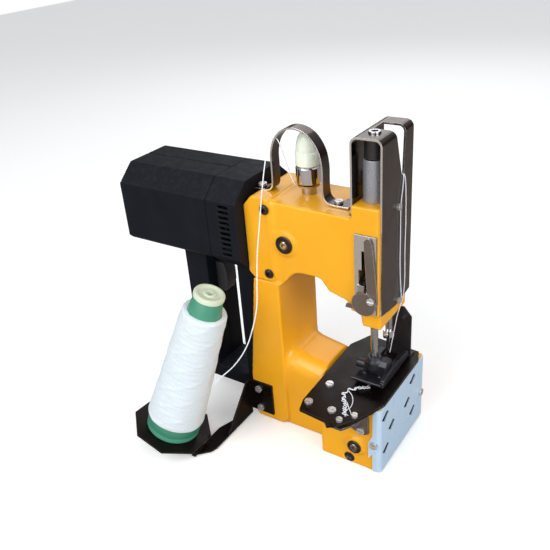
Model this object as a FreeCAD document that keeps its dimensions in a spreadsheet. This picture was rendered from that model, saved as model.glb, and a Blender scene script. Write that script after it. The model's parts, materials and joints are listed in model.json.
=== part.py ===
import FreeCAD, Part
import math
import os
import Sketcher

# Portable bag closer sewing machine, in millimetres.
# X runs from the motor tail (-X) to the sewing head (+X), +Y is the far side of the machine and +Z is up.
# The origin lies on the resting plane, in the machine's middle plane, level with the needle bar along X.

DRIVING_SIZES = {
    # axes of the mechanism
    "shaft_y": 8,
    "main_shaft_z": 181,
    "lower_shaft_z": 36,
    "needle_y": 18,
    "presser_y": -10,
    "crank_radius": 11.5,
    "rod_length": 30,
    "shaft_radius": 5,
    "bush_radius": 8,
    "bar_radius": 3.1,
    "running_gap": 0.05,
    # toothed pair between the motor and the main shaft
    "gear_module": 0.8,
    "gear_teeth": 44,
    "pinion_teeth": 11,
    "belt_pulley_radius": 13,
    # castings
    "base_front": 21.2,
    "base_rear": -34,
    "base_half": 44.3,
    "base_top": 66,
    "bed_half": 27,
    "bed_crest": 78.5,
    "bed_nose": 71.5,
    "bed_end": -41.2,
    "column_half": 30,
    "column_front": -77,
    "column_rear": -114,
    "arm_half": 27,
    "arm_top": 221,
    "arm_underside": 163,
    "head_half_depth": 11,
    "head_top": 230,
    "head_bottom": 140,
    "boss_bottom": 126,
    "case_rear": -106,
    "case_front": -82,
    "case_half": 29,
    "case_bottom": 150,
    "case_top": 224,
    # motor housing and handle
    "housing_half": 40,
    "housing_top": 233,
    "housing_shoulder": 218.5,
    "housing_bottom": 164.5,
    "top_half": 23,
    "housing_seam": -136,
    "housing_tail": -230,
    "shell_wall": 2.6,
    "handle_half": 20,
    "grip_rear": -184,
    "grip_front": -160,
    "post_rear": -126,
    "handle_bottom": 20,
    "handle_bar_top": 34,
    # sheet metal
    "sheet": 1.5,
    "plate_thickness": 2.5,
    "cover_thickness": 1.2,
    "hood_top": 280,
    "hood_near": -24,
    "hood_far": 29,
    # thread cone
    "cone_length": 145,
    "cone_base_radius": 23.8,
    "cone_top_radius": 13.8,
    "cone_x": -158.8,
    "cone_y": -94.4,
    "cone_z": 16.9,
}


class Size:
    """A length that carries both its value and the spreadsheet formula that it comes from."""

    def __init__(self, value, formula):
        self.value = float(value)
        self.formula = formula

    def combine(self, other, symbol, result, swapped=False):
        text = other.formula if isinstance(other, Size) else repr(float(other))
        left, right = (text, self.formula) if swapped else (self.formula, text)
        return Size(result, f"({left} {symbol} {right})")

    def __float__(self):
        return self.value

    def __add__(self, other):
        return self.combine(other, "+", self.value + float(other))

    def __radd__(self, other):
        return self.combine(other, "+", float(other) + self.value, True)

    def __sub__(self, other):
        return self.combine(other, "-", self.value - float(other))

    def __rsub__(self, other):
        return self.combine(other, "-", float(other) - self.value, True)

    def __mul__(self, other):
        return self.combine(other, "*", self.value * float(other))

    def __rmul__(self, other):
        return self.combine(other, "*", float(other) * self.value, True)

    def __truediv__(self, other):
        return self.combine(other, "/", self.value / float(other))

    def __neg__(self):
        return Size(-self.value, f"(-1 * {self.formula})")


doc = FreeCAD.newDocument("BagCloser")
sheet = doc.addObject("Spreadsheet::Sheet", "Dims")
for row, (alias, amount) in enumerate(DRIVING_SIZES.items(), start=1):
    sheet.set(f"A{row}", alias)
    sheet.set(f"B{row}", str(amount))
    sheet.setAlias(f"B{row}", alias)
doc.recompute()


def size(alias):
    return Size(DRIVING_SIZES[alias], f"Dims.{alias}")


nodes = {}
X, Y, Z = FreeCAD.Vector(1, 0, 0), FreeCAD.Vector(0, 1, 0), FreeCAD.Vector(0, 0, 1)
LENGTHWISE = (1, 0, 0)


def keep(label, item):
    """Names a finished sub-part and lists it for export."""
    item.Label = label
    nodes[label] = item
    return item


def bind(item, path, amount):
    """Ties a property of an object to the spreadsheet when the amount comes from it."""
    if isinstance(amount, Size):
        item.setExpression(path, amount.formula)


def turn_to(direction):
    """Rotation that carries the local Z axis to a direction."""
    return FreeCAD.Rotation(Z, FreeCAD.Vector(*direction))


def place(item, position, rotation=None):
    """Puts an object at a position whose coordinates may be tied to the spreadsheet."""
    base = FreeCAD.Vector(*[float(part) for part in position])
    item.Placement = FreeCAD.Placement(base, rotation or FreeCAD.Rotation())
    for axis, amount in zip("xyz", position):
        bind(item, f"Placement.Base.{axis}", amount)
    return item


# ---- PartDesign helpers ----

def new_body(label, kept=True):
    """Body that is a sub-part of its own, unless it is only a piece of one."""
    body = doc.addObject("PartDesign::Body", label)
    return keep(label, body) if kept else body


def sketch_on(body, plane, height):
    """Sketch on one of the body's origin planes ("XY", "XZ" or "YZ"), moved along that plane's normal."""
    sketch = body.newObject("Sketcher::SketchObject", f"{body.Name}_{plane}")
    origin_plane = next(part for part in body.Origin.OriginFeatures if part.Role == f"{plane}_Plane")
    sketch.AttachmentSupport = [(origin_plane, "")]
    sketch.MapMode = "FlatFace"
    sketch.AttachmentOffset = FreeCAD.Placement(FreeCAD.Vector(0, 0, float(height)), FreeCAD.Rotation())
    bind(sketch, "AttachmentOffset.Base.z", height)
    return sketch


def fix_point(sketch, geometry, end, point):
    """Holds one point of a sketch at its distances from the sketch's origin."""
    for kind, amount in zip(("DistanceX", "DistanceY"), point):
        index = sketch.addConstraint(Sketcher.Constraint(kind, -1, 1, geometry, end, float(amount)))
        bind(sketch, f"Constraints[{index}]", amount)


def draw_polygon(sketch, outline):
    """Closed polygon whose corners are each dimensioned from the sketch's origin."""
    corners = [FreeCAD.Vector(float(u), float(v), 0) for u, v in outline]
    first = sketch.GeometryCount
    count = len(corners)
    for index in range(count):
        sketch.addGeometry(Part.LineSegment(corners[index], corners[(index + 1) % count]), False)
    for index, corner in enumerate(outline):
        sketch.addConstraint(
            Sketcher.Constraint("Coincident", first + index, 2, first + (index + 1) % count, 1))
        fix_point(sketch, first + index, 1, corner)


def draw_circle(sketch, centre, radius):
    circle = Part.Circle(FreeCAD.Vector(float(centre[0]), float(centre[1]), 0), Z, float(radius))
    index = sketch.addGeometry(circle, False)
    fix_point(sketch, index, 3, centre)
    constraint = sketch.addConstraint(Sketcher.Constraint("Radius", index, float(radius)))
    bind(sketch, f"Constraints[{constraint}]", radius)


def profile(body, plane, low, high, outlines, circles):
    """Sketch at the end of a slab from which the plane's normal leads through the slab."""
    height = -high if plane == "XZ" else low
    sketch = sketch_on(body, plane, height)
    for outline in outlines:
        draw_polygon(sketch, outline)
    for centre, radius in circles:
        draw_circle(sketch, centre, radius)
    return sketch


def add(body, plane, low, high, *outlines, circles=()):
    """Pads closed outlines in a plane from the low to the high coordinate along its axis."""
    pad = body.newObject("PartDesign::Pad", f"{body.Name}_pad")
    pad.Profile = profile(body, plane, low, high, outlines, circles)
    pad.Length = float(high - low)
    bind(pad, "Length", high - low)
    return pad


def remove(body, plane, low, high, *outlines, circles=()):
    """Pockets closed outlines in a plane from the low to the high coordinate along its axis."""
    before = body.Tip
    pocket = body.newObject("PartDesign::Pocket", f"{body.Name}_pocket")
    pocket.Profile = profile(body, plane, low, high, outlines, circles)
    pocket.Length = float(high - low)
    pocket.Reversed = True
    bind(pocket, "Length", high - low)
    doc.recompute()
    assert pocket.Shape.Volume < before.Shape.Volume, f"{pocket.Name} cuts nothing"
    return pocket


def round_edges(body, radius, wanted):
    """Fillets the edges of the body's tip that a test picks by their middle point and direction."""
    doc.recompute()
    tip = body.Tip
    names = []
    for index, edge in enumerate(tip.Shape.Edges, start=1):
        middle = edge.valueAt((edge.FirstParameter + edge.LastParameter) / 2)
        direction = edge.tangentAt(edge.FirstParameter)
        if wanted(middle, direction):
            names.append(f"Edge{index}")
    fillet = body.newObject("PartDesign::Fillet", f"{body.Name}_fillet")
    fillet.Base = (tip, names)
    fillet.Radius = radius
    doc.recompute()
    return fillet


def along(direction, axis):
    """True when an edge runs parallel to an axis."""
    return abs(direction.dot(axis)) > 0.99


def box_outline(low_u, low_v, high_u, high_v):
    return [(low_u, low_v), (high_u, low_v), (high_u, high_v), (low_u, high_v)]


def turned(label, outline, position, direction=(0, 0, 1), kept=True):
    """Revolved body: the outline gives radius and height along its axis, which starts at the position."""
    body = new_body(label, kept)
    sketch = sketch_on(body, "XZ", 0)
    draw_polygon(sketch, outline)
    revolution = body.newObject("PartDesign::Revolution", f"{label}_turn")
    revolution.Profile = sketch
    revolution.ReferenceAxis = (sketch, ["V_Axis"])
    revolution.Angle = 360
    place(body, position, turn_to(direction))
    return body


def ring_outline(inner, outer, low, high):
    return box_outline(inner, low, outer, high)


def toothed(label, root, tip, base_half, tip_half, teeth, bore, thickness, position, tooth_angle=0,
            kept=True):
    """Wheel around X whose teeth or blades repeat; the first points at tooth_angle, counted from +Y to +Z."""
    body = new_body(label, kept)
    add(body, "XY", 0, thickness, circles=[((0, 0), root), ((0, 0), bore)])
    tooth = add(body, "XY", 0, thickness, [
        (root - 0.4, -base_half), (tip, -tip_half), (tip, tip_half), (root - 0.4, base_half)])
    pattern = body.newObject("PartDesign::PolarPattern", f"{label}_pattern")
    pattern.Originals = [tooth]
    pattern.Axis = (tooth.Profile[0], ["N_Axis"])
    pattern.Angle = 360
    pattern.Occurrences = teeth
    body.Tip = pattern
    quarter_turn = FreeCAD.Rotation(Z, 90 + tooth_angle)
    place(body, position, turn_to(LENGTHWISE).multiply(quarter_turn))
    return body


# ---- Part helpers ----

def block(low, high):
    """Part::Box between two corners."""
    item = doc.addObject("Part::Box", "block")
    for name, start, end in zip(("Length", "Width", "Height"), low, high):
        setattr(item, name, float(end - start))
        bind(item, name, end - start)
    return place(item, low)


def rod(radius, length, position, direction=(0, 0, 1)):
    """Part::Cylinder from a position along a direction."""
    item = doc.addObject("Part::Cylinder", "rod")
    item.Radius = float(radius)
    item.Height = float(length)
    bind(item, "Radius", radius)
    bind(item, "Height", length)
    return place(item, position, turn_to(direction))


def joined(items):
    fusion = doc.addObject("Part::MultiFuse", "joined")
    fusion.Shapes = items
    return fusion


def minus(base, tool):
    cut = doc.addObject("Part::Cut", "minus")
    cut.Base = base
    cut.Tool = tool
    return cut


def group(label, items):
    """Several separate solids of one kind, kept as one sub-part."""
    compound = doc.addObject("Part::Compound", label)
    compound.Links = items
    return keep(label, compound)


def screw(head_radius, head_height, shank_radius, shank_length, position, direction):
    """Slotted cheese-head screw: its head sits on the position and points along the direction."""
    axis = FreeCAD.Vector(*direction)
    base = FreeCAD.Vector(*[float(part) for part in position])
    head = rod(head_radius, head_height, base, direction)
    shank = rod(shank_radius, shank_length, base - axis * shank_length, direction)
    slot = doc.addObject("Part::Box", "slot")
    slot.Length = head_radius * 2.2
    slot.Width = head_radius * 0.28
    slot.Height = head_height
    turn = turn_to(direction)
    corner = turn.multVec(FreeCAD.Vector(-slot.Length.Value / 2, -slot.Width.Value / 2, head_height * 0.5))
    slot.Placement = FreeCAD.Placement(base + corner, turn)
    return minus(joined([head, shank]), slot)


# ---- shared sizes ----

shaft_y, main_z, lower_z = size("shaft_y"), size("main_shaft_z"), size("lower_shaft_z")
needle_y, presser_y = size("needle_y"), size("presser_y")
shaft_radius, bush_radius, bar_radius = size("shaft_radius"), size("bush_radius"), size("bar_radius")
gap, sheet_metal = size("running_gap"), size("sheet")
base_front, base_rear = size("base_front"), size("base_rear")
base_half, base_top, bed_half = size("base_half"), size("base_top"), size("bed_half")
bed_crest, bed_nose, bed_end = size("bed_crest"), size("bed_nose"), size("bed_end")
column_half, column_front, column_rear = size("column_half"), size("column_front"), size("column_rear")
arm_half, arm_top, arm_underside = size("arm_half"), size("arm_top"), size("arm_underside")
head_depth, head_top, head_bottom = size("head_half_depth"), size("head_top"), size("head_bottom")
boss_bottom = size("boss_bottom")
case_rear, case_front, case_half = size("case_rear"), size("case_front"), size("case_half")
case_bottom, case_top = size("case_bottom"), size("case_top")
housing_half, housing_top = size("housing_half"), size("housing_top")
shoulder, housing_bottom, top_half = size("housing_shoulder"), size("housing_bottom"), size("top_half")
seam, tail, shell = size("housing_seam"), size("housing_tail"), size("shell_wall")
handle_half, grip_rear, grip_front = size("handle_half"), size("grip_rear"), size("grip_front")
post_rear, handle_bottom, bar_top = size("post_rear"), size("handle_bottom"), size("handle_bar_top")
plate, hood_top = size("plate_thickness"), size("hood_top")
hood_near, hood_far = size("hood_near"), size("hood_far")
cover_thickness = size("cover_thickness")
base_boss, arm_boss = (-0.6, 21.6), (-69.3, 186.8)
belt_radius = size("belt_pulley_radius")

# the pinion meshes with the gear along a line that leans from the main shaft to the middle plane
gear_pitch = size("gear_module") * size("gear_teeth") / 2
pinion_pitch = size("gear_module") * size("pinion_teeth") / 2
module = DRIVING_SIZES["gear_module"]
gear_teeth, pinion_teeth = DRIVING_SIZES["gear_teeth"], DRIVING_SIZES["pinion_teeth"]
tooth_tip, tooth_root = 0.85 * module, 1.15 * module
centre_distance = float(gear_pitch) + float(pinion_pitch)
motor_z = main_z + math.sqrt(centre_distance ** 2 - float(shaft_y) ** 2)
mesh_angle = math.degrees(math.atan2(float(motor_z - main_z), -float(shaft_y)))

# the crank pin stands straight above the needle bar at rest
pin_rise = math.sqrt(DRIVING_SIZES["crank_radius"] ** 2 - float(needle_y - shaft_y) ** 2)
pin_z = main_z + pin_rise
stud_z = pin_z - size("rod_length")
plate_top = base_top + plate


# ---- castings ----

def main_casting():
    """Bed, column, arm and head in one casting, hollow for the shafts, the belt and the needle drive."""
    body = new_body("main_casting")
    foot_of_arch = arm_underside - 17
    add(body, "XZ", -arm_half, arm_half, [
        (case_front, arm_top), (-head_depth, arm_top - 1.5), (-head_depth, head_top), (head_depth, head_top),
        (head_depth, head_bottom), (-11.5, head_bottom + 0.5), (-16, head_bottom + 9),
        (-31, head_bottom + 13), (-39, arm_underside), (-62, arm_underside), (column_front, foot_of_arch),
        (case_front, foot_of_arch)])
    for corner_x, radius in ((-39, 6), (-62, 14)):
        round_edges(body, radius, lambda point, direction, edge_x=corner_x: along(direction, Y)
                    and abs(point.x - edge_x) < 0.1 and abs(point.z - float(arm_underside)) < 0.1)
    add(body, "XZ", -column_half, column_half, [
        (column_front, case_bottom - 0.2), (column_rear + 12, case_bottom - 0.2), (column_rear, 45),
        (column_rear, 8), (column_rear + 4, 0), (column_front - 5, 0), (column_front, 6)])
    add(body, "YZ", column_front - 3, base_rear + 1, [
        (-bed_half, 0), (bed_half, 0), (bed_half, base_top - 13), (bed_half - 3, base_top - 5),
        (bed_half - 10, base_top), (10 - bed_half, base_top), (3 - bed_half, base_top - 5),
        (-bed_half, base_top - 13)])
    # the bed's round back falls from the column to the throat plate
    add(body, "XZ", -bed_half, bed_half, [
        (column_front - 3, base_top - 30), (bed_end, base_top - 30), (bed_end, bed_nose),
        (column_front - 3, bed_crest)])
    round_edges(body, 15, lambda point, direction: abs(direction.dot(X)) > 0.95 and abs(point.x + 59) < 4
                and float(bed_nose) < point.z < float(bed_crest))
    add(body, "XY", 0, base_top, box_outline(base_rear, -base_half, base_front, base_half))
    round_edges(body, 3.2, lambda point, direction: along(direction, Z) and point.y < 1 - float(base_half)
                and point.x > float(base_front) - 1)
    add(body, "XY", boss_bottom, head_bottom + 1, [
        (-12, -10), (-4.5, -22), (head_depth, -22), (head_depth, arm_half - 1), (-12, arm_half - 1)])
    add(body, "XZ", -base_half - 2.5, -base_half, circles=[(base_boss, 8.6)])
    add(body, "XZ", -arm_half - 1.5, -arm_half, circles=[(arm_boss, 9.6)])
    remove(body, "XZ", -base_half, 3 - base_half, circles=[((-7, 5.2), 4.4)])
    # tunnel along the arm, needle-drive chamber in the head, belt shaft in the column
    remove(body, "XZ", -20, 22, box_outline(-74, 168, -28, 206))
    remove(body, "XZ", -20, 24, [
        (-15.5, head_bottom + 13), (-9, head_bottom + 10), (-9, head_bottom + 1),
        (head_depth, head_bottom + 1), (head_depth, head_top - 4), (-15.5, head_top - 4)])
    remove(body, "XZ", -8, 24, box_outline(-9, 134.5, head_depth, head_bottom + 1))
    remove(body, "XZ", -24, 24, box_outline(column_rear + 15, 12, -84, case_bottom))
    # bed tunnel and base chamber, open at the front behind the cover plate
    remove(body, "XZ", -20, 23, box_outline(-74, 14, base_rear, base_top - 10))
    remove(body, "XZ", -38, 33, box_outline(base_rear + 10, 8, base_front, base_top - 7))
    remove(body, "XY", base_top - 8, base_top, box_outline(-13, -14, 13, 26))
    # seats for the bushes
    for shaft_z in (main_z, lower_z):
        remove(body, "YZ", column_rear + 20, -10, circles=[((shaft_y, shaft_z), bush_radius)])
    for bar_y in (needle_y, presser_y):
        remove(body, "XY", boss_bottom, head_top, circles=[((0, bar_y), bar_radius + 2.4)])
    # slot in the near wall for the presser bar's guide block
    remove(body, "XZ", -arm_half, -18, box_outline(-4.5, 158, 2.5, 203))
    return body


def gear_case():
    """Rear end of the arm: a cover over the gear pair that the motor housing bolts to."""
    body = new_body("gear_case")
    add(body, "XZ", -case_half, case_half, [
        (case_rear, case_bottom + 5), (case_rear + 5, case_bottom), (case_front, case_bottom),
        (case_front, case_top - 1), (case_front - 16, case_top), (case_rear, case_top - 9)])
    remove(body, "XZ", 2 - case_half, case_half - 2, [
        (case_rear + 3, case_bottom + 6), (case_rear + 3, case_bottom), (case_front, case_bottom),
        (case_front, arm_top - 6), (case_rear + 10, arm_top - 6), (case_rear + 3, arm_top - 10)])
    remove(body, "YZ", case_rear, case_rear + 4, circles=[((0, motor_z), 6)])
    return body


def cover_plate():
    """Polished cover of the base chamber, bent round the near corner, with slanted slots for air and lint."""
    body = new_body("front_cover_plate")
    front = base_front + cover_thickness
    near, edge = -base_half - cover_thickness, 15.4
    add(body, "XY", 1, base_top - 0.2, [
        (edge, near), (front, near), (front, 41.5), (base_front, 41.5), (base_front, -base_half),
        (edge, -base_half)])
    for radius, corner_x in ((4, front), (2.8, base_front)):
        round_edges(body, radius, lambda point, direction, edge_x=float(corner_x): along(direction, Z)
                    and abs(point.x - edge_x) < 0.1 and point.y < 1 - float(base_half))
    # tab for the near screw, and the bevelled top corner
    add(body, "XZ", near, -base_half, [(11.6, 13.2), (15.7, 19.3), (15.7, 37.8), (15.2, 37.8), (11.6, 31)])
    remove(body, "XZ", near, -base_half, [(edge, 58.7), (17.4, base_top - 0.2), (edge, base_top - 0.2)])
    slots = []
    for y, z in ((19.3, 55.2), (8.6, 37.5), (20.8, 20), (-35.2, 55.1), (-22.7, 37.2), (-33.6, 19.8)):
        slots.append([(y - 7.6, z), (y - 1.4, z - 4.7), (y + 7, z + 0.3), (y + 1.8, z + 4.5)])
    remove(body, "YZ", base_front, front, *slots)
    return body


def throat_plate():
    """Flat black plate that the bag mouth slides over, with a needle hole and feed-dog slots."""
    body = new_body("throat_plate")
    needle_hole = [((0, needle_y), 2.6)]
    add(body, "XY", base_top, plate_top, [
        (-35, -74), (-38.5, -62.5), (-40.5, 25), (-31, 45.5), (18, 42), (22.2, 31), (22.2, -36), (17, -51),
        (8.5, -70.5), (-6.5, -81), (-11, -76.5)], circles=needle_hole)
    remove(body, "XY", base_top, plate_top,
           box_outline(-10.7, -9, -7.3, 18), box_outline(7.3, -9, 10.7, 18))
    return body


# ---- motor housing and handle ----

def tail_section(half, top, bottom, shoulder_half, shoulder_z):
    """Half cross-section of the motor tail on the near side of the middle plane."""
    return [(0, bottom), (-half + 4, bottom), (-half, bottom + 4), (-half, shoulder_z), (-shoulder_half, top),
            (0, top)]


def side_span(near, depth):
    """Span across one half of the machine, from the middle plane outwards."""
    return (-depth, 0) if near else (0, depth)


def handle_shell(label, near):
    """One half of the tail and D-handle clamshell, parted along the middle plane."""
    body = new_body(label)

    def sided(outline):
        return outline if near else [(-1 * u, v) for u, v in reversed(outline)]

    outer = tail_section(housing_half, housing_top, housing_bottom, top_half, shoulder)
    add(body, "YZ", tail, seam, sided(outer))
    add(body, "XZ", *side_span(near, handle_half), [
        (grip_rear, housing_bottom + 5), (grip_rear, handle_bottom), (column_rear - 0.3, handle_bottom),
        (column_rear - 0.3, 45), (column_rear + 11.7, case_bottom - 0.4),
        (case_rear - 0.3, case_bottom - 0.4), (case_rear - 0.3, 156.8), (post_rear, 156.8),
        (post_rear, bar_top), (grip_front, bar_top),
        (grip_front, housing_bottom + 5)])
    inner = tail_section(housing_half - shell, housing_top - shell, housing_bottom + shell, top_half - 1,
                         shoulder - 1)
    remove(body, "YZ", tail + shell, seam, sided(inner))
    hollow = side_span(near, handle_half - shell)
    remove(body, "XZ", *hollow,
           box_outline(grip_rear + shell, handle_bottom + shell, grip_front - shell, housing_bottom + 4))
    remove(body, "XZ", *hollow,
           box_outline(grip_front - shell, handle_bottom + shell, column_rear - 3, bar_top - shell))
    # window for the trigger and opening for the power inlet
    remove(body, "XZ", *side_span(near, 7 + gap), box_outline(grip_front - 3, 107.9, grip_front, 142.1))
    inlet_low, inlet_high = side_span(near, 9)
    remove(body, "XY", handle_bottom, handle_bottom + 3, box_outline(-179, inlet_low, -165, inlet_high))
    return body


def motor_front_housing():
    """Black ring around the motor's fan, with vent slots on each side and the front bearing's seat."""
    body = new_body("motor_front_housing")
    front = case_rear - 0.2
    add(body, "YZ", seam + 0.2, front, [
        (-28, 157), (28, 157), (housing_half, 169), (housing_half, shoulder), (top_half, housing_top),
        (-top_half, housing_top), (-housing_half, shoulder), (-housing_half, 169)])
    remove(body, "YZ", seam, front - 7, [
        (-27, 157 + shell), (27, 157 + shell), (housing_half - shell, 170),
        (housing_half - shell, shoulder - 1), (top_half - 1, housing_top - shell),
        (1 - top_half, housing_top - shell),
        (shell - housing_half, shoulder - 1), (shell - housing_half, 170)])
    slots = [box_outline(-124, low, -113.5, low + 2.4) for low in (171 + 4.7 * index for index in range(10))]
    remove(body, "XZ", -housing_half, housing_half, *slots)
    remove(body, "YZ", front - 7, front, circles=[((0, motor_z), 11)])
    return body


def motor_parts():
    """Universal motor: stator, armature with its pinion, commutator, fan, brushes and bearings."""
    stator = new_body("motor_stator")
    add(stator, "YZ", -204, -152, circles=[((0, motor_z), 27.5), ((0, motor_z), 16.3)])
    rear = (-226.5, 0, motor_z)
    core = turned("core", [
        (0, 0), (4, 0), (4, 10), (10, 10), (10, 20), (4, 20), (4, 22), (15.5, 23), (15.5, 74), (4, 75),
        (4, 121.5), (3, 121.5), (3, 130), (0, 130)], rear, LENGTHWISE, False)
    half_pitch = 180 / pinion_teeth
    pinion = toothed("pinion", pinion_pitch - tooth_root, pinion_pitch + tooth_tip, 0.65 * module,
                     0.3 * module, pinion_teeth, 2.9, 5.5, (-102.6, 0, motor_z),
                     mesh_angle + 180 + half_pitch, False)
    keep("armature", joined([core, pinion]))
    toothed("cooling_fan", 8, 26, 0.8, 0.8, 9, 4, 9, (-147, 0, motor_z))
    bearings = []
    for start in (-226, case_rear - 7.2):
        position = (start, 0, motor_z)
        bearings.append(minus(rod(11, 6.5, position, LENGTHWISE), rod(4 + gap, 6.5, position, LENGTHWISE)))
    group("motor_ball_bearings", bearings)
    bracket = minus(rod(27, 7.5, rear, LENGTHWISE), rod(11, 7.5, rear, LENGTHWISE))
    brushes = [block((-214.5, low, motor_z - 2.5), (-208.5, low + 9, motor_z + 2.5)) for low in (-19.1, 10.1)]
    group("carbon_brushes", brushes)
    holders = [block((-220, low, motor_z - 4), (-206, low + 12, motor_z + 4)) for low in (-24, 12)]
    channel = block((-214.5, -25, motor_z - 2.5), (-208.5, 25, motor_z + 2.5))
    keep("motor_end_bracket", minus(joined([bracket] + holders), channel))


def drive_train():
    """Drive gear, main shaft with its crank disc, belt and pulleys, lower shaft with its feed eccentric."""
    toothed("drive_gear", gear_pitch - tooth_root, gear_pitch + tooth_tip, 0.675 * module, 0.3 * module,
            gear_teeth, shaft_radius, 5, (-102.4, shaft_y, main_z), mesh_angle)
    keep("main_shaft", joined([rod(shaft_radius, 92.5, (-102.5, shaft_y, main_z), LENGTHWISE),
                               rod(15, 4.5, (-14.5, shaft_y, main_z), LENGTHWISE),
                               rod(2.2, 5.8, (-10, needle_y, pin_z), LENGTHWISE)]))
    keep("lower_shaft", joined([rod(shaft_radius, 100, (-95, shaft_y, lower_z), LENGTHWISE),
                                rod(8, 6, (-20, shaft_y, lower_z + 2), LENGTHWISE)]))
    pulley = [(shaft_radius, 0), (belt_radius + 3, 0), (belt_radius + 3, 1), (belt_radius, 1.2),
              (belt_radius, 7.8), (belt_radius + 3, 8), (belt_radius + 3, 9), (shaft_radius, 9)]
    turned("upper_belt_pulley", pulley, (-94.5, shaft_y, main_z), LENGTHWISE)
    turned("lower_belt_pulley", pulley, (-94.5, shaft_y, lower_z), LENGTHWISE)
    inside, outside = belt_radius + gap, belt_radius + 2
    loops = []
    for radius in (outside, inside):
        loops.append(joined([
            rod(radius, 6, (-93, shaft_y, main_z), LENGTHWISE),
            rod(radius, 6, (-93, shaft_y, lower_z), LENGTHWISE),
            block((-93, shaft_y - radius, lower_z), (-87, shaft_y + radius, main_z))]))
    keep("timing_belt", minus(*loops))
    bushes = []
    for start, height in ((-82, main_z), (-26, main_z), (-83, lower_z), (base_rear + 1, lower_z)):
        position = (start, shaft_y, height)
        bushes.append(minus(rod(bush_radius, 8, position, LENGTHWISE),
                            rod(shaft_radius + gap, 8, position, LENGTHWISE)))
    group("shaft_bushes", bushes)
    looper_hub = rod(7, 3.4, (1.6, shaft_y, lower_z), LENGTHWISE)
    looper_arm = block((1.6, shaft_y - 2, lower_z), (4, shaft_y + 2, lower_z + 11))
    looper_blade = block((1.6, shaft_y - 7, lower_z + 9.5), (4, shaft_y + 2, lower_z + 13))
    keep("looper", minus(joined([looper_hub, looper_arm, looper_blade]),
                         rod(shaft_radius, 4, (1.5, shaft_y, lower_z), LENGTHWISE)))


def needle_drive():
    """Connecting rod and the sliding needle bar with its drive block, clamp and needle."""
    rod_ends = [rod(4, 3, (-8.5, needle_y, height), LENGTHWISE) for height in (stud_z, pin_z)]
    shank = block((-8.5, needle_y - 2.4, stud_z), (-5.5, needle_y + 2.4, pin_z))
    bores = joined([rod(2.2 + gap, 4, (-9, needle_y, pin_z), LENGTHWISE),
                    rod(2.3, 4, (-9, needle_y, stud_z), LENGTHWISE)])
    keep("connecting_rod", minus(joined(rod_ends + [shank]), bores))
    bar_bottom, bar_end = 94, 240
    foot = (0, needle_y, bar_bottom)
    bar = minus(rod(bar_radius, bar_end - bar_bottom, foot), rod(1, 15, foot))
    drive_block = joined([block((-4, needle_y - 5.5, stud_z - 5), (4.5, needle_y + 5.5, stud_z + 5)),
                          rod(2.2, 2, (-5.3, needle_y, stud_z), LENGTHWISE)])
    keep("needle_bar", joined([bar, drive_block]))
    turned("needle", [(0, 0), (0.8, 4), (0.8, 21), (1, 22), (1, 35.8), (0, 35.8)],
           (0, needle_y, bar_bottom - 21))
    collar_foot = (0, needle_y, bar_bottom + 1)
    collar = minus(rod(5, 6, collar_foot), rod(bar_radius, 6, collar_foot))
    clamp_screw = rod(1.6, 5, (0, needle_y - 8.5, bar_bottom + 4), (0, 1, 0))
    keep("needle_clamp", joined([collar, clamp_screw]))
    bushes = []
    for bar_y in (needle_y, presser_y):
        for base, length in ((boss_bottom, 8), (head_top - 4, 4)):
            position = (0, bar_y, base)
            bushes.append(minus(rod(bar_radius + 2.4, length, position),
                                rod(bar_radius + gap, length, position)))
    group("bar_bushes", bushes)


def feed_parts():
    """Feed dog on a guide rod; its fork straddles the eccentric."""
    rail_y = 40
    keep("feed_guide_rod", rod(3, 2 * rail_y, (-19, -rail_y, base_top - 13), (0, 1, 0)))
    rail_z = base_top - 13
    carriage = joined([
        block((-23.5, -12, rail_z - 4.5), (-14.5, 26, rail_z + 4.5)),
        block((-16, -8, rail_z), (12, 15, rail_z + 4)),
        block((-10.2, -5, rail_z), (-7.8, 13, plate_top + 0.6)),
        block((7.8, -5, rail_z), (10.2, 13, plate_top + 0.6)),
        block((-19, shaft_y - 15.5, lower_z - 8), (-15, shaft_y - 12.5, rail_z)),
        block((-19, shaft_y + 12.5, lower_z - 8), (-15, shaft_y + 15.5, rail_z))])
    clearance = joined([rod(3 + gap, 90, (-19, -45, rail_z), (0, 1, 0)), rod(6, 60, (0, needle_y, 20))])
    notches = [block((-11, low, plate_top - 0.6), (11, low + 1.2, plate_top + 1)) for low in range(-4, 13, 3)]
    keep("feed_dog", minus(carriage, joined([clearance] + notches)))


def coil_spring(pitch, length, wire_radius, position):
    """Round-wire coil of mean radius 5 around the vertical."""
    coil = Part.makeHelix(pitch, length, 5)
    section = Part.Wire([Part.makeCircle(wire_radius, FreeCAD.Vector(5, 0, 0), Y)])
    spring = doc.addObject("Part::Feature", "spring")
    spring.Shape = Part.Wire(coil.Edges).makePipeShell([section], True, True)
    return place(spring, position)


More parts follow.
